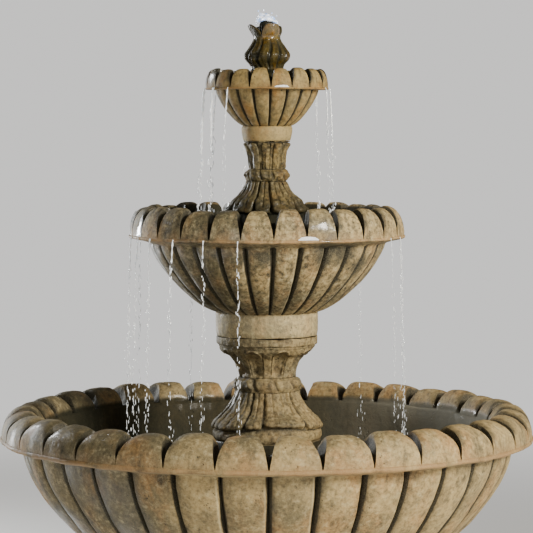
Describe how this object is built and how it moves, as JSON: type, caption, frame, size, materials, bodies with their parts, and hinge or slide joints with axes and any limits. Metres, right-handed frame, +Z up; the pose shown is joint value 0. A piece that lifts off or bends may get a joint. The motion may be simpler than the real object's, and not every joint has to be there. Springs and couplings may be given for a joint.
{
  "type": "tiered water fountain",
  "caption": "Tiered cast-stone garden fountain with scalloped basins on fluted columns, a bud finial, and a recirculating pump hidden in the basin.",
  "frame": {"origin": "centre of the pedestal's foot, on the ground", "axes": "+Z up along the fountain's axis, -Y towards the front, +X to the right seen from the front"},
  "size_m": [1.32, 1.32, 1.777],
  "materials": {
    "cast_stone": "satin",
    "wet_stone": "gloss",
    "brass": "satin",
    "copper": "satin",
    "steel": "satin",
    "rubber": "matte",
    "pump_plastic": "satin",
    "dial_plastic": "satin",
    "impeller_plastic": "satin",
    "ceramic_rod": "satin",
    "clear_vinyl": "gloss",
    "cord_jacket": "satin"
  },
  "bodies": {
    "fountain_base": {"bottom_pedestal": "cast_stone", "basin_bedding_ring": "rubber", "bottom_bowl": "cast_stone", "basin_riser": "cast_stone", "pump_body": "pump_plastic", "pump_volute": "pump_plastic", "shaft_bush_front": "rubber", "shaft_bush_rear": "rubber", "impeller_shaft": "ceramic_rod", "pump_foot_1": "rubber", "pump_foot_2": "rubber", "pump_foot_3": "rubber", "pump_foot_4": "rubber", "pump_hose_barb": "brass", "lower_tube": "clear_vinyl", "lower_hose_clamp": "steel", "power_cord": "cord_jacket", "power_plug": "cord_jacket", "plug_blade_left": "brass", "plug_blade_right": "brass", "plug_earth_pin": "brass"},
    "drain_stopper": {"drain_stopper": "rubber"},
    "impeller": {"pump_impeller": "impeller_plastic"},
    "intake_cover": {"pump_intake_cover": "pump_plastic"},
    "flow_dial": {"pump_flow_dial": "dial_plastic"},
    "lower_column": {"lower_column": "cast_stone", "middle_bedding_ring": "rubber"},
    "middle_bowl": {"middle_bowl": "cast_stone", "middle_bulkhead": "brass", "middle_gasket": "rubber", "middle_lock_nut": "brass", "upper_tube": "clear_vinyl", "upper_hose_clamp": "steel"},
    "upper_column": {"upper_column": "cast_stone", "top_bedding_ring": "rubber"},
    "top_bowl": {"top_bowl": "cast_stone", "top_bulkhead": "brass", "top_gasket": "rubber", "top_lock_nut": "brass", "finial_nozzle": "copper"},
    "finial": {"finial": "wet_stone"}
  },
  "joints": [
    {"name": "impeller_spin", "type": "hinge", "parent": "fountain_base", "child": "impeller", "pos_m": [0.007, 0, 0.476], "axis": [1, 0, 0], "continuous": true},
    {"name": "intake_cover_pull", "type": "slide", "parent": "fountain_base", "child": "intake_cover", "axis": [1, 0, 0], "range_m": [0, 0.035]},
    {"name": "flow_dial_turn", "type": "hinge", "parent": "intake_cover", "child": "flow_dial", "pos_m": [0.0553, 0, 0.476], "axis": [1, 0, 0], "range_deg": [0, 90]},
    {"name": "drain_stopper_lift", "type": "slide", "parent": "fountain_base", "child": "drain_stopper", "axis": [0, 0, 1], "range_m": [0, 0.035]},
    {"name": "lower_column_lift", "type": "slide", "parent": "fountain_base", "child": "lower_column", "axis": [0, 0, 1], "range_m": [0, 0.34]},
    {"name": "middle_bowl_lift", "type": "slide", "parent": "lower_column", "child": "middle_bowl", "axis": [0, 0, 1], "range_m": [0, 0.1]},
    {"name": "upper_column_lift", "type": "slide", "parent": "middle_bowl", "child": "upper_column", "axis": [0, 0, 1], "range_m": [0, 0.44]},
    {"name": "top_bowl_lift", "type": "slide", "parent": "upper_column", "child": "top_bowl", "axis": [0, 0, 1], "range_m": [0, 0.08]},
    {"name": "finial_lift", "type": "slide", "parent": "top_bowl", "child": "finial", "axis": [0, 0, 1], "range_m": [0, 0.25]}
  ]
}
